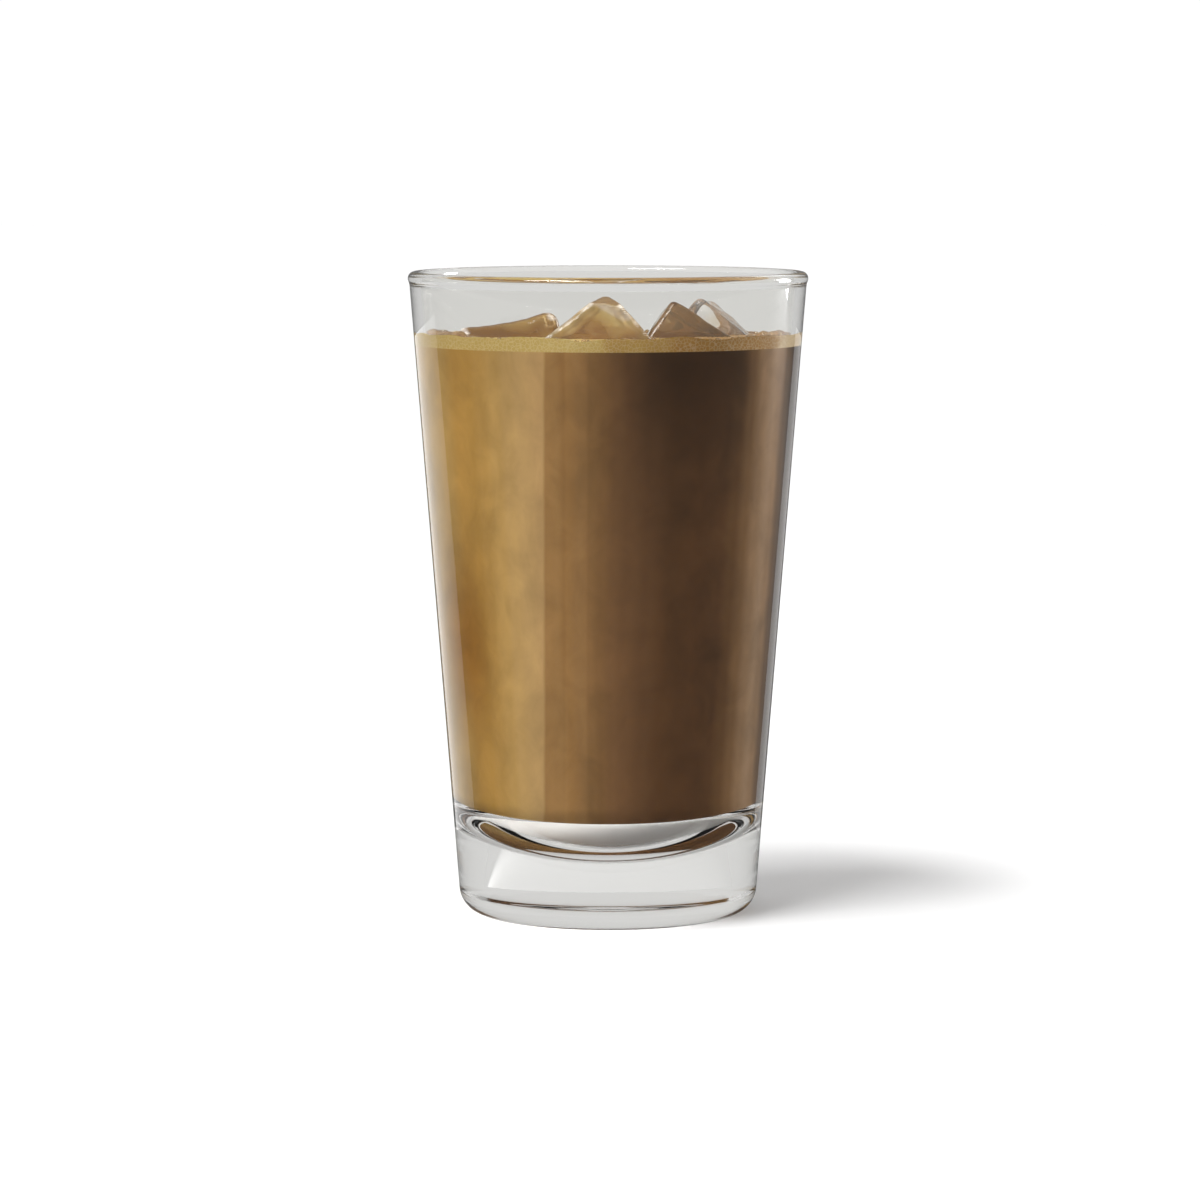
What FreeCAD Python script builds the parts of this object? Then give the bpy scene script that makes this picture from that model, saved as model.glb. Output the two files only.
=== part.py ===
# Iced milk coffee in a heavy-based, tapered tumbler, with froth and four floating pieces of ice.
# Units are millimetres. +Z is up, and the origin is at the centre of the glass's underside.

import FreeCAD, Part
import math
import os

from FreeCAD import Placement, Rotation, Vector

# ---- Driving dimensions: the glass --------------------------------------------------------------
HEIGHT = 129.0              # table to the top of the lip
RIM_DIAMETER = 80.0         # across the outside of the lip bead
FOOT_DIAMETER = 59.2        # the wall's outer face, carried down to the table
WALL = 2.2                  # thickness of the side wall, square to its face
LIP_SWELL = 0.25            # how far the fire-rounded lip bead stands proud of each wall face
LIP_BLEND_RADIUS = 3.0      # hollow between the bead and each face of the wall
FOOT_CORNER_RADIUS = 5.3    # rounding between the wall and the flat underside
FLOOR_THICKNESS = 12.4      # glass under the lowest point of the cavity
BOWL_RADIUS = 46.0          # the cavity's dished bottom
BOWL_CORNER_RADIUS = 5.0    # between the dished bottom and the wall

# ---- Driving dimensions: the drink --------------------------------------------------------------
FOAM_BELOW_LIP = 12.5       # from the top of the lip down to the foam
FOAM_THICKNESS = 1.9        # pale froth that lies on the coffee

# ---- Driving dimensions: the ice ----------------------------------------------------------------
ICE_MOUTH_RADIUS = 36.66    # cavity radius at the foam that suits the ice below; another scales it
# Each piece has a width, depth and height, the radius that melting left on its edges, the height of
# its highest point over the foam, and where that point stands in the glass. It is turned by roll
# (about the front-to-back axis), then pitch (about the side-to-side axis), then yaw (about Z).
# A chip is a plane cut across the corner that stands highest, this deep along the corner's diagonal.
# A hollow is a melted trough across the whole top, this deep in the middle.
ICE = {
    "ice_centre": {
        "size": (20.0, 12.0, 19.0),
        "edge_radius": 1.5,
        "chip": 3.1,
        "hollow": None,
        "peak_over_foam": 9.0,
        "peak_at": (-0.3, -19.5),
        "roll": 50.0,
        "pitch": -17.0,
        "yaw": 0.0,
    },
    "ice_left": {
        "size": (20.5, 13.0, 12.0),
        "edge_radius": 2.4,
        "chip": None,
        "hollow": 1.0,
        "peak_over_foam": 5.5,
        "peak_at": (-12.0, -8.5),
        "roll": -11.0,
        "pitch": -12.0,
        "yaw": 5.0,
    },
    "ice_right": {
        "size": (20.0, 12.0, 12.0),
        "edge_radius": 1.4,
        "chip": None,
        "hollow": None,
        "peak_over_foam": 7.7,
        "peak_at": (12.9, -9.0),
        "roll": 35.0,
        "pitch": -17.0,
        "yaw": 12.0,
    },
    "ice_back": {
        "size": (18.0, 10.0, 15.0),
        "edge_radius": 1.6,
        "chip": None,
        "hollow": None,
        "peak_over_foam": 8.0,
        "peak_at": (18.7, 9.0),
        "roll": 38.0,
        "pitch": -6.0,
        "yaw": -20.0,
    },
}

# ---- Sizes that follow from them ----------------------------------------------------------------
FOAM_TOP_Z = HEIGHT - FOAM_BELOW_LIP
SURFACE_Z = FOAM_TOP_Z - FOAM_THICKNESS
HALF_WALL = WALL / 2
LIP_RADIUS = HALF_WALL + LIP_SWELL
LIP_CENTRE_R = RIM_DIAMETER / 2 - LIP_RADIUS
LIP_CENTRE_Z = HEIGHT - LIP_RADIUS
FOOT_R = FOOT_DIAMETER / 2


def wall_lean():
    """Angle of the wall from upright, for an outer face that runs from the foot to the lip bead."""
    across = LIP_CENTRE_R - FOOT_R
    along = LIP_CENTRE_Z
    return math.atan2(across, along) + math.asin(HALF_WALL / math.hypot(across, along))


LEAN = wall_lean()
OUT = Vector(math.cos(LEAN), 0, -math.sin(LEAN))    # square to the wall, away from the axis
UP = Vector(math.sin(LEAN), 0, math.cos(LEAN))      # along the wall, towards the lip
LIP_CENTRE = Vector(LIP_CENTRE_R, 0, LIP_CENTRE_Z)


def on_wall(out, up):
    """The point of the half section that lies this far out from, and up from, the lip's centre."""
    return LIP_CENTRE + OUT * out + UP * up


def on_wall_at_height(out, z):
    """The point of the half section on the line this far out from the wall's middle, at height z."""
    up = (z - on_wall(out, 0).z) / UP.z
    return on_wall(out, up)


ICE_FIT = on_wall_at_height(-HALF_WALL, FOAM_TOP_Z).x / ICE_MOUTH_RADIUS


def on_circle(centre, radius, direction):
    """The point of a circle in the half section that lies in this direction from its centre."""
    return centre + Vector(direction).normalize() * radius


def arc(centre, radius, start, end):
    """The arc of a circle from one of its points to another, by the short way round."""
    middle = on_circle(centre, radius, (start - centre).normalize() + (end - centre).normalize())
    return Part.Arc(start, middle, end).toShape()


def line(start, end):
    """A straight edge."""
    return Part.LineSegment(start, end).toShape()


def lip_edges():
    """The bead from the outer wall face over the top to the inner one, with a hollow on each side."""
    drop = math.sqrt((LIP_RADIUS + LIP_BLEND_RADIUS) ** 2 - (HALF_WALL + LIP_BLEND_RADIUS) ** 2)
    outer_centre = on_wall(HALF_WALL + LIP_BLEND_RADIUS, -drop)
    inner_centre = on_wall(-HALF_WALL - LIP_BLEND_RADIUS, -drop)
    outer_foot = on_wall(HALF_WALL, -drop)
    inner_foot = on_wall(-HALF_WALL, -drop)
    outer_meet = on_circle(LIP_CENTRE, LIP_RADIUS, outer_centre - LIP_CENTRE)
    inner_meet = on_circle(LIP_CENTRE, LIP_RADIUS, inner_centre - LIP_CENTRE)
    top = on_wall(0, LIP_RADIUS)
    return outer_foot, inner_foot, [
        arc(outer_centre, LIP_BLEND_RADIUS, outer_foot, outer_meet),
        Part.Arc(outer_meet, top, inner_meet).toShape(),
        arc(inner_centre, LIP_BLEND_RADIUS, inner_meet, inner_foot),
    ]


def foot_edges(wall_top):
    """The flat underside, its rounded corner and the outer wall face up to the lip."""
    centre = on_wall_at_height(HALF_WALL - FOOT_CORNER_RADIUS, FOOT_CORNER_RADIUS)
    flat_end = Vector(centre.x, 0, 0)
    wall_start = centre + OUT * FOOT_CORNER_RADIUS
    return [
        line(Vector(0, 0, 0), flat_end),
        arc(centre, FOOT_CORNER_RADIUS, flat_end, wall_start),
        line(wall_start, wall_top),
    ]


def bowl_edges():
    """Where the inner wall face ends, and the cavity's rounded corner and dished bottom to the axis."""
    bowl_centre = Vector(0, 0, FLOOR_THICKNESS + BOWL_RADIUS)
    foot = on_wall(-HALF_WALL - BOWL_CORNER_RADIUS, 0) - bowl_centre
    reach = BOWL_RADIUS - BOWL_CORNER_RADIUS
    along = foot.dot(UP)
    up = -along - math.sqrt(along ** 2 - foot.dot(foot) + reach ** 2)
    corner_centre = on_wall(-HALF_WALL - BOWL_CORNER_RADIUS, up)
    wall_end = corner_centre + OUT * BOWL_CORNER_RADIUS
    meet = on_circle(bowl_centre, BOWL_RADIUS, corner_centre - bowl_centre)
    bottom = Vector(0, 0, FLOOR_THICKNESS)
    return wall_end, [
        arc(corner_centre, BOWL_CORNER_RADIUS, wall_end, meet),
        arc(bowl_centre, BOWL_RADIUS, meet, bottom),
    ]


def revolved(edges):
    """The solid that a closed half section sweeps round the axis."""
    face = Part.Face(Part.Wire(edges))
    return Part.makeSolid(face.revolve(Vector(0, 0, 0), Vector(0, 0, 1), 360))


def glass():
    """The tumbler in one piece."""
    outer_foot, inner_foot, lip = lip_edges()
    wall_end, bowl = bowl_edges()
    edges = foot_edges(outer_foot) + lip + [line(inner_foot, wall_end)] + bowl
    edges.append(line(Vector(0, 0, FLOOR_THICKNESS), Vector(0, 0, 0)))
    return revolved(edges)


def with_chip(block, size, depth):
    """A block less what lies outside a plane across its front corner that stands highest."""
    width, across, height = size
    corner = Vector(-width / 2, -across / 2, height / 2)
    way = Vector(-1, -1, 1).normalize()
    reach = 2 * max(size)
    tool = Part.makeBox(reach, reach, reach, Vector(-reach / 2, -reach / 2, 0))
    tool.Placement = Placement(corner - way * depth, Rotation(Vector(0, 0, 1), way))
    return block.cut(tool)


def with_hollow(block, size, depth):
    """A block less a shallow trough that runs from front to back across its whole top."""
    width, across, height = size
    radius = (width ** 2 / 4 + depth ** 2) / (2 * depth)
    axis_at = Vector(0, -across, height / 2 + radius - depth)
    return block.cut(Part.makeCylinder(radius, 2 * across, axis_at, Vector(0, 1, 0)))


def ice_piece(ice):
    """One block of ice with melted edges, turned, and hung by its highest point over the foam."""
    size = [ICE_FIT * side for side in ice["size"]]
    block = Part.makeBox(*size, Vector(*size) / -2)
    if ice["chip"]:
        block = with_chip(block, size, ICE_FIT * ice["chip"])
    if ice["hollow"]:
        block = with_hollow(block, size, ICE_FIT * ice["hollow"])
    block = block.makeFillet(ICE_FIT * ice["edge_radius"], block.Edges)
    for axis, angle in ((Vector(0, 1, 0), "roll"), (Vector(1, 0, 0), "pitch"), (Vector(0, 0, 1), "yaw")):
        block.rotate(Vector(0, 0, 0), axis, ice[angle])
    return block.translated(peak_place(ice) - highest_point(block))


def peak_place(ice):
    """Where the highest point of a piece of ice stands in the glass."""
    return Vector(0, 0, FOAM_TOP_Z) + Vector(*ice["peak_at"], ice["peak_over_foam"]) * ICE_FIT


def highest_point(shape):
    """The highest point of a shape, taken where a level plane comes nearest to it."""
    box = shape.BoundBox
    side = 2 * box.DiagonalLength
    plate = Part.makePlane(side, side, Vector(-side / 2, -side / 2, box.ZMax + side))
    return shape.distToShape(plate)[1][0][0]


def around_ice(layer, ice):
    """A layer of the drink, less the ice that floats in it."""
    for block in ice:
        layer = layer.cut(block)
    return layer


def coffee(ice):
    """The drink from the cavity's bottom up to the foam, with the ice cut out of it."""
    wall_end, bowl = bowl_edges()
    top_edge = on_wall_at_height(-HALF_WALL, SURFACE_Z)
    top_centre = Vector(0, 0, SURFACE_Z)
    edges = [line(top_centre, top_edge), line(top_edge, wall_end)] + bowl
    edges.append(line(Vector(0, 0, FLOOR_THICKNESS), top_centre))
    return around_ice(revolved(edges), ice)


def foam(ice):
    """The froth between the coffee and the air, with the ice cut out of it."""
    corners = [
        Vector(0, 0, SURFACE_Z),
        on_wall_at_height(-HALF_WALL, SURFACE_Z),
        on_wall_at_height(-HALF_WALL, FOAM_TOP_Z),
        Vector(0, 0, FOAM_TOP_Z),
    ]
    edges = [line(start, end) for start, end in zip(corners, corners[1:] + corners[:1])]
    return around_ice(revolved(edges), ice)


def save(name, shape):
    """Writes one node's STEP file, after a test that it holds one sound solid."""
    if len(shape.Solids) != 1 or not shape.isValid():
        raise ValueError(f"{name} isn't one valid solid")
    shape.Solids[0].exportStep(os.path.join("parts", name + ".step"))
    print(f"{name}: {shape.Volume / 1000:.2f} cm3")


def main():
    """Builds every node and writes it."""
    os.makedirs("parts", exist_ok=True)
    ice = {name: ice_piece(sizes) for name, sizes in ICE.items()}
    save("glass", glass())
    save("coffee", coffee(ice.values()))
    save("foam", foam(ice.values()))
    for name, block in ice.items():
        save(name, block)


main()
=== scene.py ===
import logging
import math
import random
from dataclasses import dataclass, field
from enum import Enum
from typing import Any, Callable, Iterable, Sequence

import bmesh
import bpy
from mathutils import Matrix, Vector, noise
from mathutils.bvhtree import BVHTree


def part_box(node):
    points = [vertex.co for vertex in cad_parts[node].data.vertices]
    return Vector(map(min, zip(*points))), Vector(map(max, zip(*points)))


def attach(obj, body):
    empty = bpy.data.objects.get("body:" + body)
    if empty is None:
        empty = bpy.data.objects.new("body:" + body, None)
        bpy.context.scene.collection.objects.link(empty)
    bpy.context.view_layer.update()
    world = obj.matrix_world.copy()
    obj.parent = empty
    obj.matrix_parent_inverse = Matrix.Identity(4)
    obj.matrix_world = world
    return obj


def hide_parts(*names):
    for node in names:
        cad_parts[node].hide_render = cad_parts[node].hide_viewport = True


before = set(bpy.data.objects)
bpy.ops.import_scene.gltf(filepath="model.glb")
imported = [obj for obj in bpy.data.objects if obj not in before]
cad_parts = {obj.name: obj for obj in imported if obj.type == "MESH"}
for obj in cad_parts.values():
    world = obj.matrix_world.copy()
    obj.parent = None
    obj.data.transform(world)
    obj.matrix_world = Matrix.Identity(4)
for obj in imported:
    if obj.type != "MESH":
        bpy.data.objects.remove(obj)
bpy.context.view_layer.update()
LOG = logging.getLogger("iced_coffee")

Point = tuple[float, float]     # radius and height of a point in a half section
Span = tuple[float, float]      # a low and a high end, a middle and a reach, or a width and a height
Colour = tuple[float, float, float]
Stops = Sequence[tuple[float, Colour]]
Piece = bpy.types.Object
Socket = bpy.types.NodeSocket


# ---- Mesh making ----


def new_object(name: str, data: Any) -> Piece:
    """Adds an object to the scene.

    Args:
        name: The object's name.
        data: Its mesh, camera or light.

    Returns:
        The new object.
    """
    piece = bpy.data.objects.new(name, data)
    bpy.context.scene.collection.objects.link(piece)
    return piece


def add_mesh(name: str, verts: Iterable[Sequence[float]], faces: Iterable[Sequence[int]]) -> Piece:
    """Adds a smooth mesh object to the scene.

    Args:
        name: The object's name.
        verts: Positions of its vertices.
        faces: Indices of the vertices of each face.

    Returns:
        The new object.
    """
    mesh = bpy.data.meshes.new(name)
    mesh.from_pydata([tuple(v) for v in verts], [], [tuple(f) for f in faces])
    mesh.validate()
    mesh.shade_smooth()
    return new_object(name, mesh)


def lathe(name: str, outline: Sequence[Point], segments: int) -> Piece:
    """Turns an outline that starts and ends on the axis into a closed solid of revolution.

    Args:
        name: The object's name.
        outline: Half section, whose first and last points lie on the axis.
        segments: Number of steps round the axis.

    Returns:
        The new object.
    """
    rings = outline[1:-1]
    verts = [(0.0, 0.0, outline[0][1])]
    for radius, height in rings:
        for step in range(segments):
            turn = math.tau * step / segments
            verts.append((radius * math.cos(turn), radius * math.sin(turn), height))
    verts.append((0.0, 0.0, outline[-1][1]))
    last = len(verts) - 1
    faces = []
    for step in range(segments):
        after = (step + 1) % segments
        faces.append((0, 1 + after, 1 + step))
        for ring in range(len(rings) - 1):
            low = 1 + ring * segments
            high = low + segments
            faces.append((low + step, low + after, high + after, high + step))
        top = last - segments
        faces.append((top + step, top + after, last))
    return add_mesh(name, verts, faces)


def arc(centre: Point, radius: float, start: float, end: float, steps: int) -> list[Point]:
    """Points along an arc, both ends included.

    Args:
        centre: The arc's centre.
        radius: Its radius.
        start: Angle of its first point, in radians from the outward direction.
        end: Angle of its last point.
        steps: Number of steps between them.

    Returns:
        The points in order.
    """
    turns = (start + (end - start) * step / steps for step in range(steps + 1))
    return [(centre[0] + radius * math.cos(t), centre[1] + radius * math.sin(t)) for t in turns]


def bearing(centre: Point, point: Point) -> float:
    """Angle from a centre to a point of the half section."""
    return math.atan2(point[1] - centre[1], point[0] - centre[0])


def apply_modifiers(piece: Piece) -> None:
    """Gives a piece the mesh that its modifiers make.

    Args:
        piece: The piece.
    """
    graph = bpy.context.evaluated_depsgraph_get()
    mesh = bpy.data.meshes.new_from_object(piece.evaluated_get(graph))
    piece.modifiers.clear()
    piece.data = mesh


def search_tree(piece: Piece) -> BVHTree:
    """Makes a tree that finds the point of a piece next to, or ahead of, another point.

    Args:
        piece: The piece.

    Returns:
        The tree.
    """
    mesh = bmesh.new()
    mesh.from_mesh(piece.data)
    tree = BVHTree.FromBMesh(mesh)
    mesh.free()
    return tree


# ---- Node making ----


class Graph:
    """A node tree with short ways to add and join nodes."""

    def __init__(self, tree: bpy.types.NodeTree) -> None:
        """Wraps a node tree."""
        self.tree = tree

    def add(self, kind: str, settings: dict[str, Any] | None = None, *first: Any,
            **inputs: Any) -> bpy.types.Node:
        """Adds a node.

        Args:
            kind: The node's type, without the ShaderNode prefix.
            settings: Properties of the node.
            *first: Values or sockets for its first inputs.
            **inputs: Socket values or sockets to link, by socket name with _ for a space.

        Returns:
            The new node.
        """
        node = self.tree.nodes.new("ShaderNode" + kind)
        for name, value in (settings or {}).items():
            setattr(node, name, value)
        for socket, value in zip(node.inputs, first):
            self.feed(socket, value)
        for name, value in inputs.items():
            self.feed(node.inputs[name.replace("_", " ")], value)
        return node

    def feed(self, socket: Socket, value: Any) -> None:
        """Links a socket to another, or sets its value.

        Args:
            socket: The input socket.
            value: The socket or the value to give it.
        """
        if isinstance(value, Socket):
            self.tree.links.new(value, socket)
        elif socket.type == "RGBA" and len(value) == 3:
            socket.default_value = (*value, 1.0)
        else:
            socket.default_value = value

    def math(self, operation: str, first: Any, second: Any = 0.0, clamp: bool = False) -> Socket:
        """A Math node's result.

        Args:
            operation: The node's operation.
            first: First value or socket.
            second: Second value or socket.
            clamp: Whether the result is kept between 0 and 1.

        Returns:
            The result's socket.
        """
        return self.add("Math", {"operation": operation, "use_clamp": clamp}, first, second).outputs[0]

    def remap(self, value: Any, low: float, high: float, smooth: bool = True) -> Socket:
        """A value from 0 at low to 1 at high, clamped outside them.

        Args:
            value: The value or socket.
            low: Where the result is 0.
            high: Where the result is 1.
            smooth: Whether the result eases in and out.

        Returns:
            The result's socket.
        """
        node = self.add("MapRange", {"interpolation_type": "SMOOTHSTEP" if smooth else "LINEAR"},
                        Value=value, From_Min=low, From_Max=high)
        return node.outputs[0]

    def blend(self, factor: Any, first: Any, second: Any, mode: str = "MIX") -> Socket:
        """Two colours mixed.

        Args:
            factor: Share of the second colour.
            first: First colour or socket.
            second: Second colour or socket.
            mode: The node's blending.

        Returns:
            The result's socket.
        """
        node = self.add("Mix", {"data_type": "RGBA", "blend_type": mode}, factor)
        for socket, colour in zip(node.inputs[6:8], (first, second)):
            self.feed(socket, colour)
        return node.outputs[2]

    def ramp(self, factor: Any, stops: Stops) -> Socket:
        """A colour that runs through stops as a factor goes from 0 to 1.

        Args:
            factor: The factor's socket.
            stops: The place and colour of each stop.

        Returns:
            The colour's socket.
        """
        node = self.tree.nodes.new("ShaderNodeValToRGB")
        node.color_ramp.interpolation = "EASE"
        elements = node.color_ramp.elements
        while len(elements) < len(stops):
            elements.new(0.5)
        for element, (place, colour) in zip(elements, stops):
            element.position = place
            element.color = (*colour, 1.0)
        self.feed(node.inputs[0], factor)
        return node.outputs[0]

    def by_ray(self, plain: Any, mirrored: Any, bent: Any) -> Socket:
        """A value that depends on how the light path came here.

        Args:
            plain: The value for rays that met no glass.
            mirrored: The value for rays that a glossy surface threw back.
            bent: The value for rays that came through a clear surface.

        Returns:
            The value's socket.
        """
        path = self.add("LightPath").outputs
        value = plain
        for share, other in ((path["Is Glossy Ray"], mirrored), (path["Is Transmission Ray"], bent)):
            mix = self.tree.nodes.new("ShaderNodeMix")
            for socket, given in zip(mix.inputs, (share, None, value, other)):
                if given is not None:
                    self.feed(socket, given)
            value = mix.outputs[0]
        return value

    def scaled(self, value: Any, *factors: Any) -> Socket:
        """A value times one or more factors.

        Args:
            value: The value or socket.
            *factors: What it is multiplied by.

        Returns:
            The product's socket.
        """
        for factor in factors:
            value = self.math("MULTIPLY", value, factor)
        return value

    def swing(self, noise_value: Any, reach: float) -> Socket:
        """A noise value from 0 to 1, centred on 0 and times a reach."""
        return self.scaled(self.math("SUBTRACT", noise_value, 0.5), reach)

    def rest(self, share: Any) -> Socket:
        """What a share leaves of 1."""
        return self.math("SUBTRACT", 1.0, share)

    def mix_shaders(self, share: Any, first: Socket, second: Socket) -> Socket:
        """Two shaders mixed by the second one's share."""
        return self.add("MixShader", None, share, first, second).outputs[0]

    def group(self, tree: bpy.types.NodeTree, place: Socket, **inputs: float) -> Socket:
        """What a node group makes of a place.

        Args:
            tree: The group.
            place: The place's socket.
            **inputs: Its other inputs, by name.

        Returns:
            The result's socket.
        """
        node = self.tree.nodes.new("ShaderNodeGroup")
        node.node_tree = tree
        for name, value in {"Place": place, **inputs}.items():
            self.feed(node.inputs[name], value)
        return node.outputs[0]

    def object_place(self) -> Socket:
        """The point being shaded, in metres from the object's origin."""
        return self.add("TexCoord").outputs["Object"]

    def parts(self, place: Socket) -> Any:
        """The X, Y and Z of a place."""
        return self.add("SeparateXYZ", Vector=place).outputs


def shader_group(name: str, build: Callable[[Graph, Any], Socket], **inputs: float) -> bpy.types.NodeTree:
    """Makes a shader node group that works out a value from a place.

    Args:
        name: The group's name.
        build: Fills the group, from its graph and its input sockets, and gives the result.
        **inputs: Default values of the inputs beside the place, by name.

    Returns:
        The group's node tree.
    """
    tree = bpy.data.node_groups.new(name, "ShaderNodeTree")
    tree.interface.new_socket("Place", in_out="INPUT", socket_type="NodeSocketVector")
    for label, value in inputs.items():
        socket = tree.interface.new_socket(label, in_out="INPUT", socket_type="NodeSocketFloat")
        socket.default_value = value
    tree.interface.new_socket("Result", in_out="OUTPUT", socket_type="NodeSocketFloat")
    graph = Graph(tree)
    given = tree.nodes.new("NodeGroupInput").outputs
    graph.feed(tree.nodes.new("NodeGroupOutput").inputs[0], build(graph, given))
    return tree


class Effects:
    """The effects that several finishes share, each a node group that is built once."""

    def __init__(self) -> None:
        """Builds the groups."""
        self.cloud = shader_group("Cloud", self._build_cloud, Size=0.02, Stretch=1.0, Detail=4.0)
        self.melt = shader_group("Melted ripple", self._build_melt, Wave=0.004, Grain=0.0008)
        self.smudge = shader_group("Smudge", self._build_smudge, Least=0.0, Most=0.04)

    @staticmethod
    def _build_cloud(graph: Graph, given: Any) -> Socket:
        """Soft wisps of one liquid in another, longer upright than across.

        Args:
            graph: The group's graph.
            given: Its input sockets.

        Returns:
            The result's socket.
        """
        tall = graph.add("CombineXYZ", X=1.0, Y=1.0, Z=given["Stretch"]).outputs[0]
        scaled = graph.add("VectorMath", {"operation": "DIVIDE"}, given["Place"], tall)
        scale = graph.math("DIVIDE", 1.0, given["Size"])
        wisps = graph.add("TexNoise", Vector=scaled.outputs[0], Scale=scale, Detail=given["Detail"],
                          Roughness=0.55, Distortion=0.6)
        return wisps.outputs[0]

    @staticmethod
    def _build_melt(graph: Graph, given: Any) -> Socket:
        """Shallow waves and fine grain that melting leaves.

        Args:
            graph: The group's graph.
            given: Its input sockets.

        Returns:
            The result's socket.
        """
        waves, grain = (
            graph.add("TexNoise", Vector=given["Place"], Detail=2.0,
                      Scale=graph.math("DIVIDE", 1.0, given[size])).outputs[0]
            for size in ("Wave", "Grain"))
        return graph.math("ADD", waves, graph.scaled(grain, 0.08))

    @staticmethod
    def _build_smudge(graph: Graph, given: Any) -> Socket:
        """Faint wiping marks on a polished surface, as a roughness.

        Args:
            graph: The group's graph.
            given: Its input sockets.

        Returns:
            The result's socket.
        """
        marks = graph.add("TexNoise", Vector=given["Place"], Scale=90.0, Detail=5.0, Roughness=0.65)
        share = graph.remap(marks.outputs[0], 0.42, 0.72)
        span = graph.math("SUBTRACT", given["Most"], given["Least"])
        return graph.math("ADD", given["Least"], graph.scaled(share, span))


def new_material(name: str) -> tuple[bpy.types.Material, Graph, Socket]:
    """Makes an empty node material.

    Args:
        name: The material's name.

    Returns:
        The material, its graph and its surface socket.
    """
    material = bpy.data.materials.new(name)
    material.use_nodes = True
    material.node_tree.nodes.clear()
    graph = Graph(material.node_tree)
    output = graph.add("OutputMaterial")
    return material, graph, output.inputs["Surface"]


def let_lamps_through(graph: Graph, shader: Socket, tint: Colour) -> Socket:
    """A clear shader that casts only a tinted shadow.

    Args:
        graph: The material's graph.
        shader: The clear shader.
        tint: What is left of a lamp's light behind one surface.

    Returns:
        The combined shader.
    """
    shadow_ray = graph.add("LightPath").outputs["Is Shadow Ray"]
    open_shader = graph.add("BsdfTransparent", Color=tint)
    return graph.mix_shaders(shadow_ray, shader, open_shader.outputs[0])


# ---- Finishes ----


@dataclass(frozen=True)
class ClearGlass:
    """Polished soda-lime glass with faint wiping marks."""

    tint: Colour = (0.960, 0.957, 0.935)
    shadow_tint: Colour = (0.90, 0.90, 0.90)
    ior: float = 1.5

    def material(self, effects: Effects) -> bpy.types.Material:
        """Builds the material.

        Args:
            effects: The shared effects.

        Returns:
            The material.
        """
        material, graph, surface = new_material("Clear glass")
        place = graph.object_place()
        rough = graph.group(effects.smudge, place, Least=0.0, Most=0.012)
        height = graph.group(effects.melt, place, Wave=0.03, Grain=0.01)
        bump = graph.add("Bump", Strength=0.02, Distance=0.0004, Height=height)
        body = graph.add("BsdfPrincipled", Base_Color=self.tint, Roughness=rough, IOR=self.ior,
                         Transmission_Weight=1.0, Normal=bump.outputs[0])
        graph.feed(surface, let_lamps_through(graph, body.outputs[0], self.shadow_tint))
        return material


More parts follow.
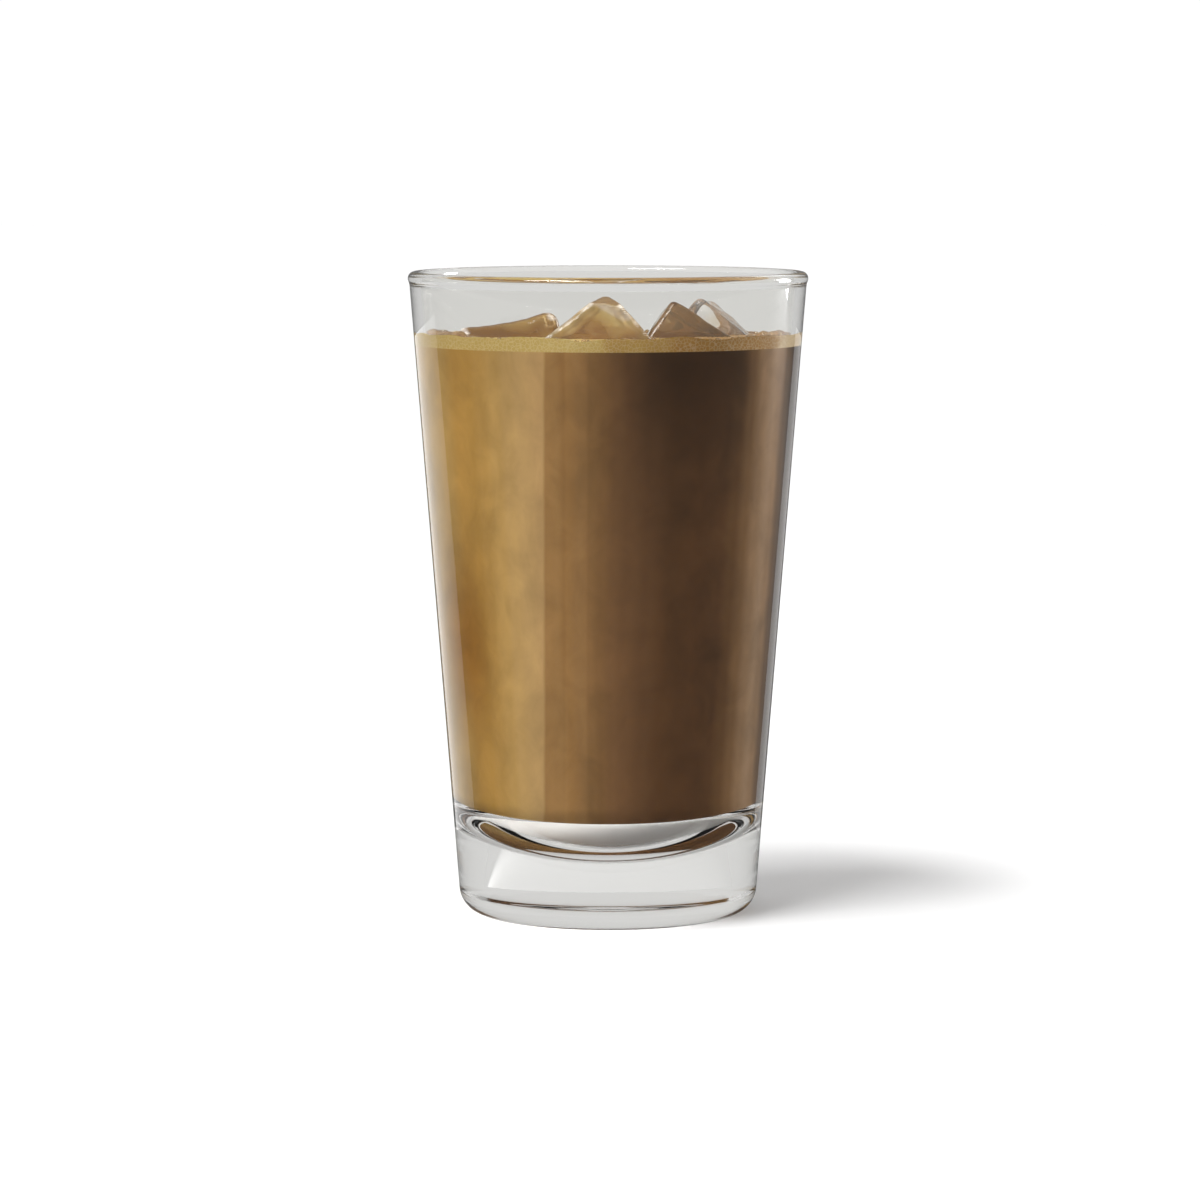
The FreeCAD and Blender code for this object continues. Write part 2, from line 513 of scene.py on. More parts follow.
@dataclass(frozen=True)
class MilkCoffee:
    """Cloudy milk coffee with painted light: its left side is partly milk and partly painted light from the
    left, and ends at a sharp upright edge; to the right of it the coffee is darker, partly by painted shade,
    with a painted reflection band, a painted strip of light near the right wall and more painted shade
    towards the upper right.
    """

    wall_radius: float = 0.0289
    wall_spread: float = 0.0805
    # Where the side painted with light from the left ends in a sharp upright edge.
    edge: float = -0.0122
    edge_softness: float = 0.0004
    # Painted light: these milky colours are partly milk and partly painted light from the left.
    milky_and_lit: Stops = (
        (-0.926, (0.4, 0.265, 0.1)), (-0.888, (0.4, 0.258, 0.088)), (-0.849, (0.39, 0.24, 0.07)),
        (-0.772, (0.395, 0.22, 0.05)), (-0.714, (0.405, 0.228, 0.053)), (-0.656, (0.437, 0.255, 0.069)),
        (-0.579, (0.482, 0.296, 0.094)), (-0.521, (0.504, 0.318, 0.116)), (-0.444, (0.51, 0.325, 0.13)),
        (-0.347, (0.495, 0.31, 0.13)))
    # Painted shade: these colours are partly darker coffee and partly painted shade; the stops from 0.791 to
    # 0.873 are a painted strip of light from the right rear.
    dark_and_shaded: Stops = (
        (-0.289, (0.355, 0.196, 0.07)), (-0.232, (0.3, 0.16, 0.055)), (-0.164, (0.272, 0.148, 0.055)),
        (-0.097, (0.256, 0.136, 0.05)), (-0.039, (0.225, 0.116, 0.043)), (0.029, (0.198, 0.1, 0.04)),
        (0.097, (0.17, 0.084, 0.034)), (0.222, (0.127, 0.061, 0.024)), (0.347, (0.103, 0.047, 0.016)),
        (0.482, (0.112, 0.05, 0.017)), (0.608, (0.116, 0.053, 0.018)), (0.675, (0.145, 0.07, 0.024)),
        (0.733, (0.2, 0.105, 0.042)), (0.791, (0.29, 0.17, 0.085)), (0.84, (0.33, 0.205, 0.11)),
        (0.873, (0.27, 0.16, 0.08)), (0.902, (0.12, 0.065, 0.028)), (0.931, (0.045, 0.024, 0.01)))
    # Painted shade: the drink darkens towards its upper right.
    painted_shade: float = 0.55
    painted_shade_rise: Span = (0.080, 0.112)
    painted_shade_from: Span = (-0.08, 0.28)
    painted_shade_to: Span = (0.66, 0.78)
    caramel: Colour = (0.255, 0.105, 0.010)
    caramel_share: float = 0.85
    caramel_up: Span = (0.056, 0.026)
    caramel_across: Span = (-0.80, 0.20)
    drift: float = 0.16
    drift_ends: Span = (0.45, 0.65)
    # Painted reflection: an upright band, brighter by this gain, that stands for a softbox mirrored in the
    # glass.
    reflection_band: Span = (-0.0082, -0.0040)
    reflection_band_gain: float = 0.14
    ior_in_glass: float = 0.76

    def across(self, graph: Graph, x: Any, height: Any) -> Socket:
        """How far across the drink a point lies, from -1 at its left wall to 1 at its right wall."""
        radius = graph.math("ADD", graph.scaled(height, self.wall_spread), self.wall_radius)
        return graph.math("DIVIDE", x, radius)

    def painted_shade_at(self, graph: Graph, across: Any, height: Any) -> Socket:
        """How much painted shade darkens the drink towards its upper right.

        Args:
            graph: The material's graph.
            across: The place across, from -1 to 1.
            height: The height.

        Returns:
            The share.
        """
        up = graph.scaled(graph.remap(height, *self.painted_shade_rise, smooth=False), self.painted_shade)
        ends = (graph.remap(across, *span) for span in (self.painted_shade_from, self.painted_shade_to))
        return graph.scaled(up, graph.math("SUBTRACT", *ends))

    def caramel_at(self, graph: Graph, across: Any, height: Any) -> Socket:
        """How much settled caramel shows in the milky side, low on the left.

        Args:
            graph: The material's graph.
            across: The place across, from -1 to 1.
            height: The height.

        Returns:
            The share.
        """
        near = []
        for value, (middle, reach) in ((height, self.caramel_up), (across, self.caramel_across)):
            gap = graph.math("ABSOLUTE", graph.math("SUBTRACT", value, middle))
            near.append(graph.rest(graph.remap(gap, 0.0, reach)))
        return graph.scaled(*near, self.caramel_share)

    def side(self, graph: Graph, across: Any, stops: Stops) -> Socket:
        """The colours of one side, over the stretch that its stops cover.

        Args:
            graph: The material's graph.
            across: The place across, from -1 to 1.
            stops: The side's colours.

        Returns:
            The colour.
        """
        low, high = stops[0][0], stops[-1][0]
        share = graph.remap(across, low, high, smooth=False)
        return graph.ramp(share, [((at - low) / (high - low), colour) for at, colour in stops])

    def material(self, effects: Effects) -> bpy.types.Material:
        """Builds the material.

        Args:
            effects: The shared effects.

        Returns:
            The material.
        """
        material, graph, surface = new_material("Milk coffee")
        place = graph.object_place()
        x, height = (graph.parts(place)[axis] for axis in "XZ")
        wisps, fine = (
            graph.group(effects.cloud, place, Size=size, Stretch=stretch, Detail=detail)
            for size, stretch, detail in ((0.022, 1.6, 6.0), (0.006, 1.3, 5.0)))
        across = self.across(graph, x, height)
        still = graph.remap(across, *self.drift_ends)
        shifted = graph.math("ADD", across, graph.scaled(graph.swing(wisps, self.drift), graph.rest(still)))
        edge = graph.math("ADD", x, graph.swing(fine, 0.0006))
        past_edge, *inside = (graph.remap(edge, at - self.edge_softness, at + self.edge_softness)
                              for at in (self.edge, *self.reflection_band))
        caramel = self.caramel_at(graph, across, height)
        milky_and_lit = graph.blend(caramel, self.side(graph, across, self.milky_and_lit), self.caramel)
        # Painted light and shade: the lit milky side gives way at the sharp edge to the darker, partly shaded
        # side.
        tone = graph.blend(past_edge, milky_and_lit, self.side(graph, shifted, self.dark_and_shaded))
        mottle_and_painted_light = graph.math("ADD", graph.math("ADD", graph.scaled(fine, 0.5), wisps), 0.2)
        # Painted reflection band.
        reflection_band = graph.scaled(graph.math("SUBTRACT", *inside), self.reflection_band_gain)
        # The mottle, darkened by the painted shade and brightened by the painted reflection band.
        mottle_and_painted_light = graph.scaled(mottle_and_painted_light, graph.rest(self.painted_shade_at(graph, across, height)),
                              graph.math("ADD", reflection_band, 1.0))
        grey = graph.add("CombineColor", Red=mottle_and_painted_light, Green=mottle_and_painted_light, Blue=mottle_and_painted_light).outputs[0]
        colour = graph.blend(1.0, tone, grey, "MULTIPLY")
        bump = graph.add("Bump", Strength=0.05, Distance=0.0002, Height=graph.math("ADD", wisps, fine))
        liquid = graph.add("BsdfPrincipled", Base_Color=colour, Roughness=0.5, IOR=1.1,
                           Normal=bump.outputs[0])
        mirror = graph.add("BsdfGlossy", Color=(0.95, 0.95, 0.95), Roughness=0.0)
        share = graph.remap(graph.add("Fresnel", IOR=self.ior_in_glass).outputs[0], 0.25, 0.75)
        graph.feed(surface, graph.mix_shaders(share, liquid.outputs[0], mirror.outputs[0]))
        return material


@dataclass(frozen=True)
class Froth:
    """Fine pale froth with small bubbles."""

    half_width: float = 0.0367
    # The last stop, pale at the right end, is a painted reflection of the bright backdrop.
    tones: Stops = (
        (0.05, (0.44, 0.305, 0.085)), (0.25, (0.46, 0.325, 0.095)), (0.42, (0.50, 0.36, 0.115)),
        (0.55, (0.38, 0.230, 0.055)), (0.70, (0.31, 0.155, 0.030)), (0.86, (0.30, 0.155, 0.035)),
        (0.95, (0.44, 0.32, 0.17)))
    rear: Colour = (0.16, 0.075, 0.02)
    film_tone: Colour = (0.72, 0.60, 0.38)

    def material(self, effects: Effects) -> bpy.types.Material:
        """Builds the material.

        Args:
            effects: The shared effects.

        Returns:
            The material.
        """
        material, graph, surface = new_material("Froth")
        place = graph.object_place()
        x, y = (graph.parts(place)[axis] for axis in "XY")
        wisps = graph.group(effects.cloud, place, Size=0.008, Detail=5.0)
        across = graph.math("ADD", graph.math("DIVIDE", x, 2 * self.half_width), 0.5)
        across = graph.math("ADD", across, graph.swing(wisps, 0.5), clamp=True)
        cells = graph.add("TexVoronoi", {"feature": "DISTANCE_TO_EDGE"}, Vector=place, Scale=1400.0)
        film = graph.remap(cells.outputs["Distance"], 0.0, 0.12)
        tone = graph.ramp(across, self.tones)
        tone = graph.blend(graph.remap(y, 0.0, 0.02), tone, self.rear)
        pale = graph.blend(graph.scaled(graph.rest(film), 0.25), tone, self.film_tone)
        height = graph.math("ADD", graph.scaled(film, 0.5), wisps)
        bump = graph.add("Bump", Strength=0.35, Distance=0.0003, Height=height)
        body = graph.add("BsdfPrincipled", Base_Color=pale, Roughness=0.42, IOR=1.33, Normal=bump.outputs[0])
        graph.feed(surface, body.outputs[0])
        return material


@dataclass(frozen=True)
class BubbleFilm:
    """The thin wet skin of a bubble."""

    deep_tone: Colour = (0.45, 0.27, 0.10)
    tone: Colour = (0.72, 0.56, 0.32)
    shadow_tint: Colour = (0.85, 0.80, 0.70)
    clarity: float = 0.7

    def material(self, effects: Effects) -> bpy.types.Material:
        """Builds the material.

        Args:
            effects: The shared effects.

        Returns:
            The material.
        """
        material, graph, surface = new_material("Bubble film")
        place = graph.object_place()
        swirl = graph.group(effects.cloud, place, Size=0.003, Detail=3.0)
        rough = graph.group(effects.smudge, place, Least=0.03, Most=0.10)
        tone = graph.ramp(swirl, ((0.3, self.deep_tone), (0.7, self.tone)))
        body = graph.add("BsdfPrincipled", Base_Color=tone, Roughness=rough, IOR=1.33,
                         Transmission_Weight=self.clarity)
        graph.feed(surface, let_lamps_through(graph, body.outputs[0], self.shadow_tint))
        return material


@dataclass(frozen=True)
class Ice:
    """Melting ice, banded partly by the drink that clings to it and partly by painted refraction of the drink
    and froth, with painted shade on its upward faces and painted edge lines of another tone.
    """

    name: str
    # Partly the drink that clings to the ice, partly painted refraction; the pale middle band of golden ice
    # is painted light from the froth.
    bands: Stops
    # Painted shade: the tone of faces that point upwards.
    level: Colour
    # Painted edge lines: bright on golden and clear ice, a dark outline on brown ice.
    edge: Colour
    shadow_tint: Colour
    clarity: float
    rough: float
    # Strength of the painted glint: the edge lines glow, though the ice is no lamp.
    glint: float = 0.0
    waterline: float = 0.1163
    rise: float = 0.0125
    ior: float = 1.31
    # Pointiness over which the painted edge lines fade in.
    painted_edge: Span = (0.514, 0.536)
    # Painted shade: how far up a face's normal must point to take the level tone.
    flat: Span = (0.80, 0.92)

    def material(self, effects: Effects) -> bpy.types.Material:
        """Builds the material.

        Args:
            effects: The shared effects.

        Returns:
            The material.
        """
        material, graph, surface = new_material(self.name)
        place = graph.object_place()
        rough = graph.group(effects.smudge, place, Least=self.rough, Most=3 * self.rough)
        ripple = graph.group(effects.melt, place, Wave=0.007, Grain=0.0012)
        wave = graph.group(effects.cloud, place, Size=0.014, Detail=1.0)
        height = graph.remap(graph.parts(place)["Z"], self.waterline, self.waterline + self.rise,
                             smooth=False)
        tone = graph.ramp(graph.math("ADD", height, graph.swing(wave, 1.6), clamp=True), self.bands)
        shape = graph.add("NewGeometry")
        # Painted shade: faces that point upwards take the level tone.
        flat = graph.remap(graph.parts(shape.outputs["Normal"])["Z"], *self.flat)
        tone = graph.blend(flat, tone, self.level)
        # Painted highlight and outline along the sharp edges, and a painted glint that glows from them.
        painted_edge = graph.remap(shape.outputs["Pointiness"], *self.painted_edge)
        tone = graph.blend(painted_edge, tone, self.edge)
        glow = graph.blend(painted_edge, (0.0, 0.0, 0.0), (1.0, 0.98, 0.95))
        bump = graph.add("Bump", Strength=0.30, Distance=0.0006, Height=ripple)
        body = graph.add("BsdfPrincipled", Base_Color=tone, Roughness=rough, IOR=self.ior,
                         Transmission_Weight=self.clarity, Emission_Color=glow,
                         Emission_Strength=self.glint, Normal=bump.outputs[0])
        graph.feed(surface, let_lamps_through(graph, body.outputs[0], self.shadow_tint))
        return material


class Look(Enum):
    """The painted colouring of a piece of ice: bands of partly painted refraction, painted shade on top and
    painted edge lines.
    """

    GOLDEN = Ice(
        "Golden ice",
        ((0.0, (0.40, 0.21, 0.055)), (0.18, (0.55, 0.37, 0.13)), (0.34, (0.62, 0.46, 0.19)),
         (0.46, (0.73, 0.62, 0.47)), (0.60, (0.72, 0.60, 0.42)), (0.70, (0.56, 0.42, 0.20)),
         (1.0, (0.50, 0.37, 0.18))),
        (0.41, 0.274, 0.15), (0.95, 0.92, 0.88), (0.60, 0.52, 0.40), 0.6, 0.02, 0.7)
    BROWN = Ice(
        "Brown ice",
        ((0.0, (0.34, 0.20, 0.08)), (0.3, (0.47, 0.32, 0.16)), (0.5, (0.52, 0.38, 0.22)),
         (0.75, (0.44, 0.30, 0.16)), (1.0, (0.40, 0.27, 0.14))),
        (0.41, 0.274, 0.15), (0.24, 0.14, 0.07), (0.60, 0.52, 0.40), 0.7, 0.02)
    CLEAR = Ice(
        "Clear ice",
        ((0.0, (0.80, 0.66, 0.45)), (0.2, (0.93, 0.91, 0.88)), (1.0, (0.98, 0.98, 0.97))),
        (0.97, 0.97, 0.96), (0.97, 0.97, 0.96), (0.92, 0.92, 0.92), 0.93, 0.02, 0.15)


@dataclass(frozen=True)
class PaleFloor:
    """Plain matt studio floor, darker in what the glass bends or mirrors, so that clear glass stands out."""

    tone: float = 0.90
    behind_glass: float = 0.62
    mirrored: float = 0.15

    def material(self, effects: Effects) -> bpy.types.Material:
        """Builds the material.

        Args:
            effects: The shared effects.

        Returns:
            The material.
        """
        material, graph, surface = new_material("Pale floor")
        grain = graph.group(effects.cloud, graph.object_place(), Size=0.01, Detail=2.0)
        bump = graph.add("Bump", Strength=0.02, Distance=0.0001, Height=grain)
        tone = graph.by_ray(self.tone, self.mirrored, self.behind_glass)
        colour = graph.add("CombineColor", Red=tone, Green=tone, Blue=tone).outputs[0]
        body = graph.add("BsdfPrincipled", Base_Color=colour, Roughness=0.9, Normal=bump.outputs[0])
        body.inputs["Specular IOR Level"].default_value = 0.1
        graph.feed(surface, body.outputs[0])
        return material


# ---- The glass ----


@dataclass
class Tumbler:
    """The tapered tumbler with its rounded lip, thick base and dished cavity."""

    height: float = 0.129
    rim_diameter: float = 0.080
    foot_diameter: float = 0.0592
    wall: float = 0.0022
    lip_swell: float = 0.00025
    lip_blend: float = 0.003
    foot_corner: float = 0.0053
    base: float = 0.0124
    bowl_radius: float = 0.046
    bowl_corner: float = 0.005
    segments: int = 256
    arc_steps: int = 12
    blend_steps: int = 4

    def __post_init__(self) -> None:
        """Works out the wall's lean and the lip's centre."""
        self.lip_radius = self.wall / 2 + self.lip_swell
        self.lip = (self.rim_diameter / 2 - self.lip_radius, self.height - self.lip_radius)
        across = self.lip[0] - self.foot_diameter / 2
        slant = math.hypot(across, self.lip[1])
        self.lean = math.atan2(across, self.lip[1]) + math.asin(self.wall / 2 / slant)

    def on_wall(self, out: float, up: float) -> Point:
        """The point this far out from, and up along the wall from, the lip's centre."""
        return (self.lip[0] + out * math.cos(self.lean) + up * math.sin(self.lean),
                self.lip[1] - out * math.sin(self.lean) + up * math.cos(self.lean))

    def on_wall_at(self, out: float, height: float) -> Point:
        """The point at a height on the line this far out from the wall's middle."""
        return self.on_wall(out, (height - self.on_wall(out, 0.0)[1]) / math.cos(self.lean))

    def cavity_radius(self, height: float) -> float:
        """Radius of the cavity at a height on its straight wall."""
        return self.on_wall_at(-self.wall / 2, height)[0]

    def lip_outline(self) -> list[Point]:
        """The lip, from the outer wall face over the top to the inner one.

        Returns:
            The points in order.
        """
        half = self.wall / 2
        drop = math.sqrt((self.lip_radius + self.lip_blend) ** 2 - (half + self.lip_blend) ** 2)
        outer = self.on_wall(half + self.lip_blend, -drop)
        inner = self.on_wall(-half - self.lip_blend, -drop)
        outer_foot = self.on_wall(half, -drop)
        inner_foot = self.on_wall(-half, -drop)
        to_outer = bearing(self.lip, outer)
        to_inner = bearing(self.lip, inner) % math.tau
        points = arc(outer, self.lip_blend, bearing(outer, outer_foot) % math.tau, to_outer + math.pi,
                     self.blend_steps)
        points += arc(self.lip, self.lip_radius, to_outer, to_inner, 2 * self.arc_steps)[1:]
        points += arc(inner, self.lip_blend, to_inner - math.pi, bearing(inner, inner_foot),
                      self.blend_steps)[1:]
        return points

    def foot_outline(self) -> list[Point]:
        """The underside from the axis outwards, and its rounded corner up to the outer wall face.

        Returns:
            The points in order.
        """
        centre = self.on_wall_at(self.wall / 2 - self.foot_corner, self.foot_corner)
        corner = arc(centre, self.foot_corner, -math.pi / 2, -self.lean, self.arc_steps)
        flat = [(centre[0] * share, 0.0) for share in (0.0, 0.3, 0.6, 0.9)]
        return flat + corner

    def bowl_outline(self, grow: float = 0.0) -> list[Point]:
        """The cavity's rounded corner and dished bottom, from the wall to the axis.

        Args:
            grow: How far the outline stands into the glass.

        Returns:
            The points in order.
        """
        bowl = (0.0, self.base + self.bowl_radius)
        reach = self.bowl_radius - self.bowl_corner
        out = -self.wall / 2 - self.bowl_corner
        foot = self.on_wall(out, 0.0)
        away = (foot[0], foot[1] - bowl[1])
        along = away[0] * math.sin(self.lean) + away[1] * math.cos(self.lean)
        up = -along - math.sqrt(along ** 2 - away[0] ** 2 - away[1] ** 2 + reach ** 2)
        corner = self.on_wall(out, up)
        to_corner = bearing(bowl, corner)
        points = arc(corner, self.bowl_corner + grow, -self.lean, to_corner, self.arc_steps)
        points += arc(bowl, self.bowl_radius + grow, to_corner, -math.pi / 2, 3 * self.arc_steps)[1:]
        return points

    def build(self, finish: ClearGlass, effects: Effects) -> Piece:
        """Builds and dresses the glass.

        Args:
            finish: The glass's finish.
            effects: The shared effects.

        Returns:
            The finished piece.
        """
        outline = self.foot_outline() + self.lip_outline() + self.bowl_outline()
        outline[-1] = (0.0, outline[-1][1])
        piece = lathe("tumbler", outline, self.segments)
        piece.data.materials.append(finish.material(effects))
        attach(piece, "root")
        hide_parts("glass")
        return piece


# ---- The ice ----


@dataclass
class IcePieces:
    """The pieces of ice, each a melted block in the place that the frame gives it."""

    voxel: float = 0.00042
    wave_length: float = 0.005
    wave_height: float = 0.00030
    looks: dict[str, Look] = field(default_factory=lambda: {
        "ice_centre": Look.GOLDEN, "ice_left": Look.GOLDEN, "ice_right": Look.BROWN, "ice_back": Look.CLEAR})

    def melted(self, node: str) -> Piece:
        """One piece, from the node's solid, remeshed and rippled.

        Args:
            node: Name of the node that holds the block.

        Returns:
            The new piece.
        """
        piece = new_object(node + "_melted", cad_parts[node].data.copy())
        remesh = piece.modifiers.new("Remesh", "REMESH")
        remesh.mode = "VOXEL"
        remesh.voxel_size = self.voxel
        smooth = piece.modifiers.new("Smooth", "SMOOTH")
        smooth.factor = 0.5
        smooth.iterations = 2
        apply_modifiers(piece)
        low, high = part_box(node)
        for vertex in piece.data.vertices:
            wave = noise.noise(vertex.co / self.wave_length)
            wave += 0.4 * noise.noise(vertex.co * 2.3 / self.wave_length) - 0.6
            moved = vertex.co + vertex.normal * (self.wave_height * wave)
            vertex.co = [min(max(at, least), most) for at, least, most in zip(moved, low, high)]
        piece.data.shade_smooth()
        return piece

    def build(self, effects: Effects) -> list[Piece]:
        """Builds and dresses every piece.

        Args:
            effects: The shared effects.

        Returns:
            The finished pieces.
        """
        finishes = {look: look.value.material(effects) for look in Look}
        pieces = []
        for node, look in self.looks.items():
            piece = self.melted(node)
            piece.data.materials.clear()
            piece.data.materials.append(finishes[look])
            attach(piece, "root")
            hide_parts(node)
            pieces.append(piece)
        return pieces


# ---- The drink ----


@dataclass
class Drink:
    """The coffee and its froth, which reach just into the wall and leave room for the ice."""

    glass: Tumbler
    surface: float
    froth_top: float
    into_wall: float = 0.00015
    overlap: float = 0.0001
    segments: int = 256
    wall_creep: float = 0.0009
    ice_creep: float = 0.0007
    creep_width: float = 0.0011
    ruffle: float = 0.00014
    sag: float = 0.0002
    ruffle_lengths: Span = (0.0035, 0.0015)
    creep_length: float = 0.006
    sharp_angle: float = 35.0
    side_steps: int = 8
    rings: int = 120

    def carve(self, piece: Piece, ice: Sequence[Piece]) -> None:
        """Cuts the ice out of a piece, a little smaller than it is, so that no gap shows.

        Args:
            piece: What the ice stands in.
            ice: The pieces of ice.
        """
        blocks = bmesh.new()
        for block in ice:
            blocks.from_mesh(block.data)
        blocks.normal_update()
        for vertex in blocks.verts:
            vertex.co -= vertex.normal * self.overlap
        tool = new_object("tool", bpy.data.meshes.new("tool"))
        blocks.to_mesh(tool.data)
        blocks.free()
        cut = piece.modifiers.new("Cut", "BOOLEAN")
        cut.operation = "DIFFERENCE"
        cut.solver = "EXACT"
        cut.object = tool
        apply_modifiers(piece)
        bpy.data.objects.remove(tool)
        piece.data.shade_smooth()
        piece.data.set_sharp_from_angle(angle=math.radians(self.sharp_angle))

    def build_coffee(self, finish: MilkCoffee, effects: Effects, ice: Sequence[Piece]) -> Piece:
        """Builds and dresses the coffee.

        Args:
            finish: The coffee's finish.
            effects: The shared effects.
            ice: The pieces of ice that stand in it.

        Returns:
            The finished piece.
        """
        wall = self.glass.on_wall_at(self.into_wall - self.glass.wall / 2, self.surface)
        bowl = self.glass.bowl_outline(self.into_wall)
        top = [(wall[0] * share, self.surface) for share in (0.0, 0.25, 0.5, 0.75, 0.97)]
        shares = (step / self.side_steps for step in range(self.side_steps))
        side = [tuple(high + (low - high) * share for high, low in zip(wall, bowl[0])) for share in shares]
        outline = top + side + bowl
        outline[-1] = (0.0, outline[-1][1])
        piece = lathe("milk_coffee", outline[::-1], self.segments)
        self.carve(piece, ice)
        piece.data.materials.clear()
        piece.data.materials.append(finish.material(effects))
        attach(piece, "root")
        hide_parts("coffee")
        return piece

    def build_froth(self, finish: Froth, effects: Effects, ice: Sequence[Piece]) -> Piece:
        """Builds and dresses the froth, whose top creeps up the wall and the ice.

        Args:
            finish: The froth's finish.
            effects: The shared effects.
            ice: The pieces of ice that stand in it.

        Returns:
            The finished piece.
        """
        low, high = (self.glass.on_wall_at(self.into_wall - self.glass.wall / 2, height)
                     for height in (self.surface, self.froth_top))
        base = [(low[0] * share, self.surface) for share in (0.0, 0.25, 0.5, 0.75)] + [low]
        top = [(high[0] * (1 - step / self.rings), self.froth_top) for step in range(self.rings + 1)]
        piece = lathe("froth", base + top, self.segments)
        self.raise_edges(piece, ice)
        self.carve(piece, ice)
        piece.data.materials.clear()
        piece.data.materials.append(finish.material(effects))
        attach(piece, "root")
        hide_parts("foam")
        return piece

    def raise_edges(self, froth: Piece, ice: Sequence[Piece]) -> None:
        """Lifts the froth's top where it meets the wall and the ice, and ruffles the rest.

        Args:
            froth: The froth.
            ice: The pieces of ice.
        """
        trees = [search_tree(block) for block in ice]
        wall = self.glass.cavity_radius(self.froth_top)
        for vertex in froth.data.vertices:
            if vertex.co.z < self.froth_top - 1e-6:
                continue
            gap = max(wall - vertex.co.xy.length, 0.0)
            creep = self.wall_creep * (1.0 + 0.8 * noise.noise(vertex.co / self.creep_length))
            cling = creep * math.exp(-gap / self.creep_width)
            near = min(tree.find_nearest(vertex.co)[3] for tree in trees)
            cling += self.ice_creep * math.exp(-near / self.creep_width)
            coarse, fine = (noise.noise(vertex.co / length) for length in self.ruffle_lengths)
            vertex.co.z += cling + self.ruffle * (coarse + 0.5 * fine) - self.sag


@dataclass
class Bubbles:
    """The bubbles on the froth: small ones all round the wall, and a raised cluster at the left and right."""

    glass: Tumbler
    froth: Piece
    seed: int = 7
    ring: int = 260
    ring_gap: float = 0.0006
    ring_size: Span = (0.00018, 0.00055)
    clusters: tuple[tuple[int, float, float], ...] = ((56, 184.0, 218.0), (26, 322.0, 350.0))
    cluster_gap: float = 0.0014
    cluster_size: Span = (0.0005, 0.0014)
    drop_from: float = 0.125        # height from which each falls on the froth
    lowest: float = 0.001           # how far below the froth's level it may land
    stand: float = 0.25             # share of its size by which its middle stands out

    def spots(self) -> list[tuple[float, float, float]]:
        """Chooses where the bubbles are.

        Returns:
            Turn about the axis, gap from the wall and size of each bubble.
        """
        draw = random.Random(self.seed)
        groups = [(self.ring, 0.0, 360.0, self.ring_gap, self.ring_size)]
        groups += [(*cluster, self.cluster_gap, self.cluster_size) for cluster in self.clusters]
        return [(draw.uniform(start, end), abs(draw.gauss(0.0, gap)), draw.uniform(*size))
                for count, start, end, gap, size in groups for _ in range(count)]

    def build(self, finish: BubbleFilm, effects: Effects) -> Piece:
        """Builds and dresses the bubbles.

        Args:
            finish: The bubbles' finish.
            effects: The shared effects.

        Returns:
            The finished piece.
        """
        tree = search_tree(self.froth)
        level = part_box("foam")[1][2]
        wall = self.glass.cavity_radius(level)
        domes = bmesh.new()
        for turn, gap, size in self.spots():
            reach, turn = wall - gap - size, math.radians(turn)
            spot = Vector((reach * math.cos(turn), reach * math.sin(turn), self.drop_from))
            hit = tree.ray_cast(spot, Vector((0.0, 0.0, -1.0)))[0]
            if hit is None or hit.z < level - self.lowest:
                continue
            place = Matrix.Translation(hit + Vector((0.0, 0.0, self.stand * size)))
            bmesh.ops.create_icosphere(domes, subdivisions=2, radius=size, matrix=place)
        mesh = bpy.data.meshes.new("bubbles")
        domes.to_mesh(mesh)
        domes.free()
        mesh.shade_smooth()
        piece = new_object("bubbles", mesh)
        mesh.materials.append(finish.material(effects))
        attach(piece, "root")
        return piece


# ---- The studio ----


